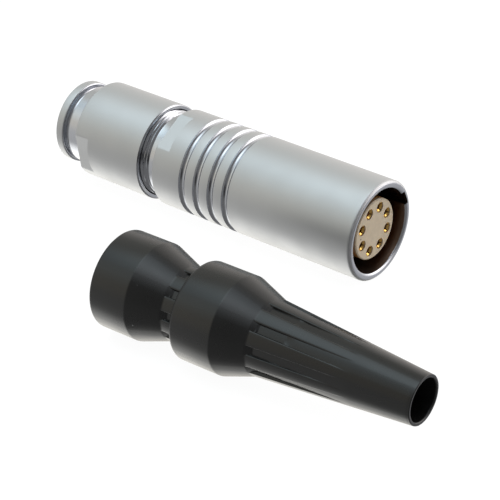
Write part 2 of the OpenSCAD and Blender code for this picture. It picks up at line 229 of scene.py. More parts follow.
class NutSizes(PropertyGroup):
    radius: FloatProperty(
        name="Outside radius",
        description="Radius of the back nut",
        default=NUT_HIGH.z,
        unit="LENGTH",
    )
    length: FloatProperty(
        name="Body length",
        description="Length of the full-diameter part",
        default=10.25 * MM,
        unit="LENGTH",
    )
    mouth_radius: FloatProperty(
        name="Mouth radius",
        description="Radius of the recess at the nut's mouth",
        default=5.55 * MM,
        unit="LENGTH",
    )
    neck_radius: FloatProperty(
        name="Neck radius",
        description="Radius of the neck behind the wrench flats",
        default=4.9 * MM,
        unit="LENGTH",
    )
    neck_length: FloatProperty(
        name="Neck length",
        description="Length of the neck",
        default=2.05 * MM,
        unit="LENGTH",
    )
    snap_radius: FloatProperty(
        name="Snap groove radius",
        description="Radius at the bottom of the groove that the boot's lip snaps into",
        default=4.35 * MM,
        unit="LENGTH",
    )
    snap_length: FloatProperty(
        name="Snap groove length",
        description="Length of the snap groove",
        default=0.75 * MM,
        unit="LENGTH",
    )
    flange_radius: FloatProperty(
        name="Flange radius",
        description="Radius of the end flange",
        default=5.15 * MM,
        unit="LENGTH",
    )
    cable_radius: FloatProperty(
        name="Cable hole radius",
        description="Radius of the hole for the cable",
        default=2.8 * MM,
        unit="LENGTH",
    )
    flat_length: FloatProperty(
        name="Flat length",
        description="Length of the nut's wrench flats",
        default=2.15 * MM,
        unit="LENGTH",
    )
    flat_clock: FloatProperty(
        name="Flat clock angle",
        description="Clock angle of the nut's wrench flats",
        default=math.radians(99.5),
        subtype="ANGLE",
    )
    edge: FloatProperty(
        name="Broken edge",
        description="Chamfer that breaks the nut's edges",
        default=0.15 * MM,
        unit="LENGTH",
    )


class BootSizes(PropertyGroup):
    radius: FloatProperty(
        name="Bulb radius",
        description="Radius of the cap and of the second bulb",
        default=5.68 * MM,
        unit="LENGTH",
    )
    cap_length: FloatProperty(
        name="Cap length",
        description="Length of the cylindrical cap",
        default=4.95 * MM,
        unit="LENGTH",
    )
    waist_start: FloatProperty(
        name="Waist start",
        description="Distance from the cap's edge to the waist",
        default=8.9 * MM,
        unit="LENGTH",
    )
    waist_radius: FloatProperty(
        name="Waist radius",
        description="Radius of the waist between the bulbs",
        default=4.3 * MM,
        unit="LENGTH",
    )
    bulb_start: FloatProperty(
        name="Bulb start",
        description="Distance from the cap's edge to the second bulb's shoulder",
        default=11.0 * MM,
        unit="LENGTH",
    )
    bulb_end: FloatProperty(
        name="Bulb end",
        description="Distance from the cap's edge to the end of the second bulb",
        default=16.35 * MM,
        unit="LENGTH",
    )
    taper_start: FloatProperty(
        name="Taper start",
        description="Distance from the cap's edge to the start of the taper",
        default=20.15 * MM,
        unit="LENGTH",
    )
    taper_radius: FloatProperty(
        name="Taper radius",
        description="Radius at the start of the taper",
        default=4.35 * MM,
        unit="LENGTH",
    )
    mouth_radius: FloatProperty(
        name="Mouth radius",
        description="Outside radius at the boot's mouth",
        default=2.8 * MM,
        unit="LENGTH",
    )
    length: FloatProperty(
        name="Boot length",
        description="Length of the whole boot",
        default=39.4 * MM,
        unit="LENGTH",
    )
    flute_count: IntProperty(
        name="Flutes", description="Number of flutes round the taper", default=10
    )
    flute_clock: FloatProperty(
        name="Flute clock angle",
        description="Clock angle of the first flute",
        default=math.radians(9),
        subtype="ANGLE",
    )
    flute_width: FloatProperty(
        name="Flute width",
        description="Width of one flute",
        default=1.15 * MM,
        unit="LENGTH",
    )
    flute_depth: FloatProperty(
        name="Flute depth",
        description="Depth of a flute where it starts",
        default=0.34 * MM,
        unit="LENGTH",
    )
    flute_length: FloatProperty(
        name="Flute length",
        description="Length of a flute until it fades out",
        default=12 * MM,
        unit="LENGTH",
    )
    flute_ramp: FloatProperty(
        name="Flute ramp",
        description="Length of the ramp that leads into a flute or a pocket",
        default=0.6 * MM,
        unit="LENGTH",
    )
    turn: FloatProperty(
        name="Turn",
        description="Angle between the boot's axis and the connector's",
        default=math.radians(1.4),
        subtype="ANGLE",
    )


class FinishColours(PropertyGroup):
    chrome: FloatVectorProperty(
        name="Matt chrome",
        description="Colour of the blasted and chromed brass",
        default=linear("#C4C5C6"),
        size=4,
        subtype="COLOR",
    )
    bright: FloatVectorProperty(
        name="Bright chrome",
        description="Colour of the turned edges and grooves",
        default=linear("#BFC1C6"),
        size=4,
        subtype="COLOR",
    )
    # painted shade: dark brown that stands in for the shade deep in the bore, with the
    # insulator's brown reflection painted in
    bore: FloatVectorProperty(
        name="Dull bore",
        description="Colour of the thinly plated bore",
        default=linear("#6A5B52"),
        size=4,
        subtype="COLOR",
    )
    plastic: FloatVectorProperty(
        name="Insulator",
        description="Colour of the moulded insulator",
        default=linear("#B3A48C"),
        size=4,
        subtype="COLOR",
    )
    # painted shade and bounce light: amber that stands in for the warm light in the cavity
    # round the insulator's sides
    painted_cavity_amber: FloatVectorProperty(
        name="Insulator sides",
        description="Colour of the insulator where light shines through its sides",
        default=linear("#A06A30"),
        size=4,
        subtype="COLOR",
    )
    # painted shade: a dark dot that stands in for the shaded side of a small raised pip
    dot: FloatVectorProperty(
        name="Insulator dot",
        description="Colour of the dot that tells where the numbers start",
        default=linear("#3A352E"),
        size=4,
        subtype="COLOR",
    )
    gold: FloatVectorProperty(
        name="Gold",
        description="Colour of the gold plating on the contacts",
        default=linear("#E8BE6A"),
        size=4,
        subtype="COLOR",
    )
    bronze: FloatVectorProperty(
        name="Spring bronze",
        description="Colour of the spring crown and its ring",
        default=linear("#B08A58"),
        size=4,
        subtype="COLOR",
    )
    rubber: FloatVectorProperty(
        name="Boot",
        description="Colour of the moulded boot",
        default=linear("#101010"),
        size=4,
        subtype="COLOR",
    )
    dust: FloatVectorProperty(
        name="Dust",
        description="Colour of the specks of dust on the boot",
        default=linear("#8C8E90"),
        size=4,
        subtype="COLOR",
    )
    paper: FloatVectorProperty(
        name="Photo sheet",
        description="Colour of the sheet that the parts lie on",
        default=linear("#F0F0F0"),
        size=4,
        subtype="COLOR",
    )


class StudioSizes(PropertyGroup):
    azimuth: FloatProperty(
        name="Camera azimuth",
        description="Angle of the camera round the connector, from -Y towards +X",
        default=math.radians(38.19),
        subtype="ANGLE",
    )
    elevation: FloatProperty(
        name="Camera elevation",
        description="Angle of the camera above the floor",
        default=math.radians(30.48),
        subtype="ANGLE",
    )
    distance: FloatProperty(
        name="Camera distance",
        description="Distance from the camera to the point it looks at",
        default=224.75 * MM,
        unit="LENGTH",
    )
    lens: FloatProperty(
        name="Focal length",
        description="Focal length of the camera, in millimetres",
        default=143.76,
        subtype="DISTANCE_CAMERA",
    )
    glow: FloatProperty(
        name="Sheet glow",
        description="Brightness of the light that comes through the photo sheet",
        default=1.12,
        min=0,
    )


# --- Surfaces ----------------------------------------------------------------


def rounded(corners, steps=6):
    """Open profile with its corners rounded off.

    Each row of corners is x, radius and the fillet's reach. Round a corner P, the
    curve is (1-t)^2 A + 2t(1-t) P + t^2 B, where A and B lie on the two sides, at
    the reach from P. A reach never takes more than 0.48 of a side.
    """
    corners = np.array(corners, float)
    place, reach = corners[:, :2], corners[:, 2:]
    back = np.vstack([place[:1], place[:-1]]) - place
    ahead = np.vstack([place[1:], place[-1:]]) - place
    back_len = np.linalg.norm(back, axis=1, keepdims=True)
    ahead_len = np.linalg.norm(ahead, axis=1, keepdims=True)
    reach = np.minimum(reach, 0.48 * np.minimum(back_len, ahead_len))
    start = place + back / np.maximum(back_len, MICRON) * reach
    end = place + ahead / np.maximum(ahead_len, MICRON) * reach
    t = np.linspace(0, 1, steps)[None, :, None]
    curve = (
        (1 - t) ** 2 * start[:, None]
        + 2 * t * (1 - t) * place[:, None]
        + t**2 * end[:, None]
    ).reshape(-1, 2)
    step = np.linalg.norm(np.diff(curve, axis=0), axis=1)
    return curve[np.concatenate([[True], step > 0.2 * MICRON])]


def turned(x, radius, clock):
    """Points of a turned surface: each is at its x, its radius and its clock angle."""
    x, radius, clock = np.broadcast_arrays(x, radius, clock)
    return np.stack([x, -radius * np.sin(clock), radius * np.cos(clock)], axis=-1)


def ring_mesh(name, grid, tints):
    """Closed ring of quads from a grid of points, rows by columns, closed both ways.

    The last row meets the first and the last column meets the first. The faces'
    order is turned round where the enclosed volume comes out negative, so that they
    look outwards. tints holds one material index for each row of faces.
    """
    rows, columns = grid.shape[:2]
    index = np.arange(rows * columns).reshape(rows, columns)
    right, below = np.roll(index, -1, axis=1), np.roll(index, -1, axis=0)
    quads = np.stack([index, right, np.roll(right, -1, axis=0), below], axis=-1)
    quads = quads.reshape(-1, 4)
    points = grid.reshape(-1, 3)
    a, b, c, d = (points[quads[:, i]] for i in range(4))
    volume = np.einsum("ij,ij->", a, np.cross(b, c) + np.cross(c, d))
    if volume < 0:
        quads = quads[:, ::-1]
    return quad_mesh(name, points, quads, np.repeat(tints, columns))


def quad_mesh(name, points, quads, tints):
    """Mesh of quads, smooth but for its edges sharper than 32 degrees."""
    mesh = bpy.data.meshes.new(name)
    mesh.vertices.add(len(points))
    mesh.vertices.foreach_set("co", points.astype(np.float32).ravel())
    mesh.loops.add(quads.size)
    mesh.loops.foreach_set("vertex_index", quads.astype(np.int32).ravel())
    mesh.polygons.add(len(quads))
    mesh.polygons.foreach_set("loop_start", np.arange(0, quads.size, 4, dtype=np.int32))
    mesh.polygons.foreach_set("material_index", np.asarray(tints, np.int32))
    mesh.update(calc_edges=True)
    mesh.validate()
    mesh.shade_smooth()
    mesh.set_sharp_from_angle(angle=math.radians(32))
    return mesh


def add_piece(mesh, body, replaced, materials):
    """Object of a mesh that rides on a body and stands for the CAD nodes named."""
    for material in materials:
        mesh.materials.append(material)
    piece = bpy.data.objects.new(mesh.name, mesh)
    bpy.context.scene.collection.objects.link(piece)
    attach(piece, body)
    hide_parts(*replaced)


def flattened(radius, x, clock, half_width, flat_clock, front, rear):
    """Radius after two parallel flats are milled between two places along x.

    A flat at distance h from the axis stands at radius h / |cos(angle from it)|.
    """
    plane = half_width / np.maximum(np.abs(np.cos(clock - flat_clock)), 1e-3)
    inside = (x <= front) & (x >= rear)
    return np.where(inside, np.minimum(radius, plane), radius)


def flat_edges(radius, half_width, flat_clock):
    """Clock angles at which two parallel flats run out into a round of this radius."""
    spread = math.acos(half_width / radius)
    return flat_clock + np.array([-spread, spread, math.pi - spread, math.pi + spread])


def thread_drop(x, clock, pitch, depth):
    """Depth of a right-handed V thread below its crest.

    It follows the sawtooth |2p - 1|, where p is the fraction left by
    x / pitch - clock / 360 degrees, cut flat at crest and root.
    """
    phase = np.mod(x / pitch - clock / (2 * math.pi), 1)
    return depth * np.clip(1.3 * np.abs(2 * phase - 1) - 0.15, 0, 1)


# --- Materials ---------------------------------------------------------------


def add_node(tree, kind, settings=None, **inputs):
    """Adds a node with its settings and its inputs, each a value or a linked socket.

    An input's name is its socket's, with underscores for spaces, or i0, i1 and so on
    for sockets counted from the first.
    """
    node = tree.nodes.new(kind)
    for name, value in (settings or {}).items():
        setattr(node, name, value)
    for name, value in inputs.items():
        key = int(name[1:]) if name[1:].isdigit() else name.replace("_", " ")
        socket = node.inputs[key]
        if isinstance(value, bpy.types.NodeSocket):
            tree.links.new(value, socket)
        else:
            socket.default_value = value
    return node


def new_surface(name):
    """An empty node material and its tree."""
    material = bpy.data.materials.new(name)
    material.use_nodes = True
    material.node_tree.nodes.clear()
    return material, material.node_tree


def follow_noise(tree, noise, low, high):
    """Socket that runs from low to high as a noise node's middle range does."""
    return add_node(
        tree,
        "ShaderNodeMapRange",
        Value=noise.outputs["Fac"],
        From_Min=0.3,
        From_Max=0.7,
        To_Min=low,
        To_Max=high,
    ).outputs["Result"]


def bumped(tree, height, strength, distance):
    """Socket with the normal of a surface that is as rough as a texture node."""
    return add_node(
        tree,
        "ShaderNodeBump",
        Height=height.outputs["Fac"],
        Strength=strength,
        Distance=distance,
    ).outputs["Normal"]


def principled(material, **inputs):
    """The material, with a principled shader of these inputs as its surface."""
    tree = material.node_tree
    shader = add_node(tree, "ShaderNodeBsdfPrincipled", **inputs)
    add_node(tree, "ShaderNodeOutputMaterial", Surface=shader.outputs["BSDF"])
    return material


def blasted_chrome(colours):
    """Brass, bead blasted and matt chromed: a fine even grain that spreads highlights
    into broad soft bands, with faint changes of gloss where the beads fell denser."""
    material, tree = new_surface("blasted_matt_chromed_brass")
    place = add_node(tree, "ShaderNodeTexCoord").outputs["Object"]
    # bead craters of 0.04 mm, drawn at 0.12 mm so that they show
    grain = add_node(
        tree,
        "ShaderNodeTexNoise",
        Vector=place,
        Scale=1 / (0.12 * MM),
        Detail=3.0,
        Roughness=0.6,
    )
    clouds = add_node(
        tree, "ShaderNodeTexNoise", Vector=place, Scale=1 / (2.5 * MM), Detail=2.0
    )
    gloss = follow_noise(tree, clouds, 0.5, 0.54)
    relief = bumped(tree, grain, 0.12, 0.01 * MM)
    return principled(
        material,
        Base_Color=colours.chrome,
        Metallic=1.0,
        Roughness=gloss,
        Normal=relief,
    )


def bright_chrome(colours):
    """Chromed brass left as the lathe tool cut it: fine rings round the axis, and a
    bright clear shine beside the matt body."""
    material, tree = new_surface("bright_turned_chromed_brass")
    place = add_node(tree, "ShaderNodeTexCoord").outputs["Object"]
    # tool marks 0.05 mm apart, drawn at 0.1 mm so that they show
    marks = add_node(
        tree,
        "ShaderNodeTexWave",
        {"wave_type": "BANDS", "bands_direction": "X", "wave_profile": "SIN"},
        Vector=place,
        Scale=1 / (0.1 * MM) / 20,
        Distortion=0.6,
        Detail=1.0,
    )
    relief = bumped(tree, marks, 0.08, 0.004 * MM)
    return principled(
        material,
        Base_Color=colours.bright,
        Metallic=1.0,
        Roughness=0.22,
        Normal=relief,
    )


def painted_shade_bore(colours):
    """Chromed brass deep in a bore, painted a dark smoky brown. The dark is painted shade
    that keeps it almost black, and the brown is a painted reflection of the insulator."""
    material, tree = new_surface("bore_with_painted_shade")
    place = add_node(tree, "ShaderNodeTexCoord").outputs["Object"]
    # clouds of thinner plating, 1.5 mm across
    clouds = add_node(
        tree, "ShaderNodeTexNoise", Vector=place, Scale=1 / (1.5 * MM), Detail=3.0
    )
    gloss = follow_noise(tree, clouds, 0.3, 0.38)
    return principled(
        material,
        Base_Color=colours.bore,
        Metallic=1.0,
        Roughness=gloss,
    )


def moulded_boot(colours):
    """Black polyurethane elastomer, injection moulded in an eroded mould: a soft
    half-matt skin with a faint grain, and a few pale specks of dust."""
    material, tree = new_surface("moulded_black_polyurethane")
    place = add_node(tree, "ShaderNodeTexCoord").outputs["Object"]
    # spark-eroded grain of 0.15 mm
    grain = add_node(
        tree, "ShaderNodeTexNoise", Vector=place, Scale=1 / (0.15 * MM), Detail=4.0
    )
    patches = add_node(
        tree, "ShaderNodeTexNoise", Vector=place, Scale=1 / (4 * MM), Detail=3.0
    )
    gloss = follow_noise(tree, patches, 0.26, 0.31)
    specks = add_node(
        tree,
        "ShaderNodeTexVoronoi",
        {"feature": "F1"},
        Vector=place,
        Scale=1 / (3.2 * MM),
    )
    dust = add_node(
        tree,
        "ShaderNodeMapRange",
        {"clamp": True},
        Value=specks.outputs["Distance"],
        From_Min=0.02,
        From_Max=0.032,
        To_Min=0.4,
        To_Max=0.0,
    )
    colour = add_node(
        tree,
        "ShaderNodeMix",
        {"data_type": "RGBA"},
        Factor=dust.outputs["Result"],
        i6=colours.rubber,
        i7=colours.dust,
    )
    relief = bumped(tree, grain, 0.2, 0.015 * MM)
    return principled(
        material,
        Base_Color=colour.outputs[2],
        Roughness=gloss,
        IOR=1.5,
        Normal=relief,
    )


def moulded_insulator(colours):
    """Beige glass-filled thermoplastic, injection moulded: an even matt face with a very
    fine mottling. Its sides are painted amber, as painted shade and bounce light of the
    cavity round them. A small dark dot beside the ring of contacts is painted shade of a
    small raised pip."""
    material, tree = new_surface("moulded_beige_thermoplastic")
    place = add_node(tree, "ShaderNodeTexCoord").outputs["Object"]
    # flow mottling of 0.5 mm
    mottle = add_node(
        tree, "ShaderNodeTexNoise", Vector=place, Scale=1 / (0.5 * MM), Detail=4.0
    )
    shade = follow_noise(tree, mottle, 0.92, 1.05)
    colour = add_node(
        tree,
        "ShaderNodeVectorMath",
        {"operation": "SCALE"},
        i0=colours.plastic[:3],
        Scale=shade,
    )
    # painted shade and bounce light: amber from 0.1 mm to 0.5 mm behind the face's edge,
    # for the light in the cavity round the sides
    along = add_node(tree, "ShaderNodeSeparateXYZ", Vector=place).outputs["X"]
    depth = add_node(
        tree,
        "ShaderNodeMapRange",
        Value=along,
        From_Min=NOSE_X - 0.12 * MM,
        From_Max=NOSE_X - 0.5 * MM,
    )
    sides = add_node(
        tree,
        "ShaderNodeMix",
        {"data_type": "RGBA"},
        i0=depth.outputs["Result"],
        i6=colour.outputs["Vector"],
        i7=colours.painted_cavity_amber,
    )
    # painted shade of a small raised pip: a dark dot 0.2 mm across
    angle = math.radians(92.5)
    dot = add_node(
        tree,
        "ShaderNodeVectorMath",
        {"operation": "DISTANCE"},
        i0=place,
        i1=(NOSE_X, -2.75 * MM * math.sin(angle), 2.75 * MM * math.cos(angle)),
    )
    pip_shade_mask = add_node(
        tree,
        "ShaderNodeMapRange",
        Value=dot.outputs["Value"],
        From_Min=0.12 * MM,
        From_Max=0.09 * MM,
    )
    tint = add_node(
        tree,
        "ShaderNodeMix",
        {"data_type": "RGBA"},
        i0=pip_shade_mask.outputs["Result"],
        i6=sides.outputs[2],
        i7=colours.dot,
    )
    relief = bumped(tree, mottle, 0.1, 0.01 * MM)
    return principled(
        material,
        Base_Color=tint.outputs[2],
        Roughness=0.48,
        IOR=1.6,
        Subsurface_Weight=0.15,
        Subsurface_Radius=(0.3 * MM, 0.2 * MM, 0.1 * MM),
        Subsurface_Scale=1.0,
        Normal=relief,
    )


def gold_plating(colours):
    """Copper alloy, turned and gold plated: a warm shine with faint rings."""
    material, tree = new_surface("turned_gold_plated_bronze")
    place = add_node(tree, "ShaderNodeTexCoord").outputs["Object"]
    # plating mottle of 0.2 mm
    mottle = add_node(
        tree, "ShaderNodeTexNoise", Vector=place, Scale=1 / (0.2 * MM), Detail=2.0
    )
    gloss = follow_noise(tree, mottle, 0.3, 0.4)
    return principled(
        material,
        Base_Color=colours.gold,
        Metallic=1.0,
        Roughness=gloss,
    )


def stamped_bronze(colours):
    """Beryllium bronze strip, stamped, rolled and nickel flashed: a dull warm metal
    with streaks along the rolling direction."""
    material, tree = new_surface("stamped_spring_bronze")
    place = add_node(tree, "ShaderNodeTexCoord").outputs["Object"]
    # rolling streaks 0.1 mm wide and 2 mm long
    stretched = add_node(
        tree,
        "ShaderNodeMapping",
        Vector=place,
        Scale=(1 / (2 * MM), 1 / (0.1 * MM), 1 / (0.1 * MM)),
    )
    streaks = add_node(
        tree, "ShaderNodeTexNoise", Vector=stretched.outputs["Vector"], Scale=1.0
    )
    gloss = follow_noise(tree, streaks, 0.26, 0.4)
    return principled(
        material,
        Base_Color=colours.bronze,
        Metallic=1.0,
        Roughness=gloss,
    )


MAKERS = {
    "blasted": blasted_chrome,
    "bright": bright_chrome,
    "bore": painted_shade_bore,
    "boot": moulded_boot,
    "insulator": moulded_insulator,
    "gold": gold_plating,
    "bronze": stamped_bronze,
}
made = {}


def finish_of(kind):
    """The material of that kind, made once."""
    if kind not in made:
        made[kind] = MAKERS[kind](bpy.context.scene.connector_colours)
    return made[kind]


# --- Pieces ------------------------------------------------------------------


class DressShell(Operator):
    """Turned outer shell with grip grooves, wrench flats, keyway and threaded tail"""

    bl_idname = "connector.dress_shell"
    bl_label = "Dress Outer Shell"

    def execute(self, context):
        mesh = shell_mesh(context.scene.connector_shell)
        add_piece(
            mesh,
            "root",
            ["outer_shell"],
            [finish_of("blasted"), finish_of("bright"), finish_of("bore")],
        )
        return {"FINISHED"}


# columns across the keyway's floor, and the reach of the small fillets
FLOOR_COLUMNS = 7
SOFT_EDGE = 0.04 * MM
# how far the front rim leans where it meets the bore and the outside
INNER_LEAN, OUTER_LEAN = math.radians(36), math.radians(60)
# depths behind the mating face: the stop, the snap ring's groove, the latch groove
STOP_FRONT, STOP_REAR, STOP_R = 12.4 * MM, 13.2 * MM, 4.25 * MM
RING_FRONT, RING_REAR, RING_DEPTH = 8.6 * MM, 9.15 * MM, 0.3 * MM
LATCH_FRONT, LATCH_REAR, LATCH_DEPTH = 3.4 * MM, 4.7 * MM, 0.35 * MM


def keyed_columns(size):
    """Columns of the shell's grid, as angles from the keyway's middle.

    Seven cross the keyway's floor, one stands at the top of each of its walls, and
    the rest go round evenly, with one more at each edge of the wrench flats.
    """
    floor = size.bore_radius + size.key_depth
    half = size.key_width / 2
    corner = math.atan(half / floor)
    wall = math.asin(half / size.bore_radius)
    first = wall * 1.12
    even = np.linspace(first, 2 * math.pi - first, 236)
    edges = flat_edges(size.radius, size.across_flats / 2, size.flat_clock)
    edges = np.mod(edges - size.key_clock, 2 * math.pi)
    spacing = even[1] - even[0]
    even = even[np.min(np.abs(even[:, None] - edges), axis=1) > 0.3 * spacing]
    round_part = np.sort(np.concatenate([even, edges]))
    across = np.linspace(-corner, corner, FLOOR_COLUMNS)
    return np.concatenate([across, [wall], round_part, [2 * math.pi - wall]])


def rim_rows(size):
    """Rounded front rim: two arcs that meet at its crest, from the bore outwards.

    At a lean a from the axis, an arc of radius b has x = b(cos a - 1) and stands at
    the crest's radius + b sin a. The inner arc leans 36 degrees at the bore, and the
    outer one 60 degrees where it meets the outside.
    """
    crest = size.bore_radius + size.rim_crest
    inner = (size.rim_crest - 0.03 * MM) / math.sin(INNER_LEAN)
    outer = (size.radius - crest - 0.02 * MM) / math.sin(OUTER_LEAN)
    lean = np.radians([-36, -30, -22, -14, -7, 0, 7, 14, 22, 30, 40, 50, 60])
    bow = np.where(lean < 0, inner, outer)
    x, radius = bow * (np.cos(lean) - 1), crest + bow * np.sin(lean)
    return list(np.stack([x, radius, np.zeros_like(x)], axis=-1))


def groove_rows(size):
    """Grip grooves: each is an arc through its two edges and its lowest point.

    For half width h and depth d, the arc's radius is (h^2 + d^2) / 2d.
    """
    half = size.groove_width / 2
    bow = (half**2 + size.groove_depth**2) / (2 * size.groove_depth)
    reach = math.asin(half / bow)
    angles = np.linspace(-reach, reach, 15)
    radius = size.radius + bow - size.groove_depth - bow * np.cos(angles)
    fillet = np.where(np.abs(angles) == reach, SOFT_EDGE, 0)
    middles = size.groove_first + size.groove_pitch * np.arange(size.groove_count)
    x = -middles[:, None] - bow * np.sin(angles)
    return list(np.stack(np.broadcast_arrays(x, radius, fillet), -1).reshape(-1, 3))


def shell_outside(size):
    """Outside of the shell from the mating face to the tail's end: x, radius, fillet."""
    root = size.tail_radius - size.thread_depth
    end, flat = -SHELL_LOW.x, size.length - size.flat_length
    edge = 0.12 * MM
    thread_start = size.length + size.undercut
    thread = np.arange(
        thread_start + size.thread_depth,
        end - size.thread_depth,
        size.thread_pitch / 10,
    )
    crests = np.full_like(thread, size.tail_radius)
    return rounded(
        [
            *rim_rows(size),
            [-0.42 * MM, size.radius, 0.1 * MM],
            *groove_rows(size),
            [-flat + 2 * MICRON, size.radius, 0],
            [-flat, size.radius, 0],
            [edge - size.length, size.radius, SOFT_EDGE],
            [-size.length, size.radius - edge, SOFT_EDGE],
            [-size.length, root, SOFT_EDGE],
            [-thread_start, root, SOFT_EDGE],
            *np.stack([-thread, crests, np.zeros_like(thread)], -1),
            [size.thread_depth - end, size.tail_radius, 0],
            [-end, root, SOFT_EDGE],
        ]
    )


def shell_inside(size):
    """Inside of the shell from the tail's end to the mating face: x, radius, fillet.

    On the way are the rear bore, the stop, the snap ring's groove, the keyway's
    end, the latch groove and the lead-in.
    """
    bore, rear, soft = size.bore_radius, size.rear_bore_radius, 0.03 * MM
    return rounded(
        [
            [SHELL_LOW.x, rear, soft],
            [-STOP_REAR, rear, 0],
            [-STOP_REAR, STOP_R, soft],
            [-STOP_FRONT, STOP_R, soft],
            [-STOP_FRONT, bore, 0],
            [-RING_REAR, bore, soft],
            [-RING_REAR, bore + RING_DEPTH, 0],
            [-RING_FRONT, bore + RING_DEPTH, 0],
            [-RING_FRONT, bore, soft],
            [-size.key_length, bore, 0],
            [-size.key_length + 2 * MICRON, bore, 0],
            [-LATCH_REAR - LATCH_DEPTH, bore, soft],
            [-LATCH_REAR, bore + LATCH_DEPTH, soft],
            [-LATCH_FRONT, bore + LATCH_DEPTH, 0],
            [-LATCH_FRONT, bore, soft],
            [-0.1 * MM - size.lead_in, bore, soft],
        ]
    )


def shell_mesh(size):
    """Closed surface of the shell.

    Each row turns one point of the profile about X. Outside, the wrench flats cap
    the radius and the thread drops it. Inside and on the rim, the columns of the
    keyway move out to its floor and its walls: a point of the floor stands at
    floor / cos(angle), and a wall's top at asin(half width / radius).
    """
    outside, inside = shell_outside(size), shell_inside(size)
    profile = np.vstack([outside, inside])
    x, radius = profile[:, :1], profile[:, 1:]
    angle = keyed_columns(size)[None, :]
    column = np.arange(angle.size)[None, :]
    is_outside = (np.arange(len(profile)) < len(outside))[:, None]

    half, floor = size.key_width / 2, size.bore_radius + size.key_depth
    keyed = (x > -size.key_length) & (radius < floor)
    at_wall = (column == FLOOR_COLUMNS) | (column == angle.size - 1)
    wall_angle = np.arcsin(half / radius) * np.where(angle < math.pi, 1, -1)
    clock = np.where(keyed & at_wall, wall_angle, angle) + size.key_clock
    on_floor = keyed & (column < FLOOR_COLUMNS)
    r = np.where(on_floor, floor / np.cos(angle), radius)

    milled = flattened(
        r,
        x,
        clock,
        size.across_flats / 2,
        size.flat_clock,
        size.flat_length - size.length,
        -size.length - 1 * MICRON,
    )
    drop = thread_drop(x, clock, size.thread_pitch, size.thread_depth)
    threaded = np.minimum(r, size.tail_radius - drop)
    on_tail = x < -size.length - size.undercut
    r = np.where(is_outside, np.where(on_tail, threaded, milled), r)
    return ring_mesh("shell", turned(x, r, clock), shell_tints(size, profile, is_outside))


def shell_tints(size, profile, is_outside):
    """Material of each row of faces: 0 where it was blasted, 1 bright, 2 in the bore, whose
    dark colour is painted shade.

    Blasting reached the full diameter and the rim's outer part, but not the grooves.
    """
    x, radius = ((profile + np.roll(profile, -1, axis=0)) / 2).T
    is_outside = is_outside.ravel()
    last_groove = size.groove_first + size.groove_pitch * (size.groove_count - 1)
    by_grooves = (x < size.groove_pitch - size.groove_first) & (
        x > -size.groove_pitch - last_groove
    )
    reach = np.where(by_grooves, 5 * MICRON, 0.3 * MM)
    blasted = is_outside & (size.radius - radius < reach)
    blasted &= x > 1 * MICRON - size.length
    in_bore = ~is_outside & (x < -0.17 * MM)
    return np.select([blasted, in_bore], [0, 2], 1)


class DressBackNut(Operator):
    """Turned back nut with wrench flats, neck, snap groove and end flange"""

    bl_idname = "connector.dress_back_nut"
    bl_label = "Dress Back Nut"

    def execute(self, context):
        mesh = nut_mesh(context.scene.connector_nut, context.scene.connector_shell)
        add_piece(
            mesh,
            "nut",
            ["back_nut"],
            [finish_of("blasted"), finish_of("bright")],
        )
        return {"FINISHED"}


# depths behind the mating face: the cone that closes the collet, and the thread's end
CONE_REAR, CONE_R = 42.05 * MM, 3.5 * MM
THREAD_REAR, THREAD_FIT = 39.15 * MM, 0.05 * MM


def nut_profile(size, shell):
    """Closed section of the back nut: x, radius and fillet, from its mouth rearwards.

    Inside it are the cable hole, the cone that closes the collet, the thread and
    the plain mouth.
    """
    front, edge = NUT_HIGH.x, size.edge
    end = front - size.length
    flat = end + size.flat_length
    neck = end - size.neck_length
    groove, flange = neck - size.snap_length, NUT_LOW.x
    thread = shell.tail_radius + THREAD_FIT
    return rounded(
        [
            [front, size.mouth_radius, SOFT_EDGE],
            [front, size.radius - edge, 0.02 * MM],
            [front - edge, size.radius, 0.02 * MM],
            [flat + 2 * MICRON, size.radius, 0],
            [flat, size.radius, 0],
            [end, size.radius, edge],
            [end, size.neck_radius, SOFT_EDGE],
            [neck, size.neck_radius, SOFT_EDGE],
            [neck, size.snap_radius, 0.12 * MM],
            [groove, size.snap_radius, 0.5 * MM],
            [groove, size.flange_radius, 0.25 * MM],
            [flange, size.flange_radius, edge],
            [flange, size.cable_radius, edge],
            [-CONE_REAR, size.cable_radius, SOFT_EDGE],
            [-CONE_REAR, CONE_R, 0],
            [-THREAD_REAR, shell.rear_bore_radius, 0],
            [-THREAD_REAR, thread, 0],
            [front - 0.7 * MM, thread, SOFT_EDGE],
            [front - 0.6 * MM, size.mouth_radius, SOFT_EDGE],
            [front - 0.1 * MICRON, size.mouth_radius, 0],
        ]
    )


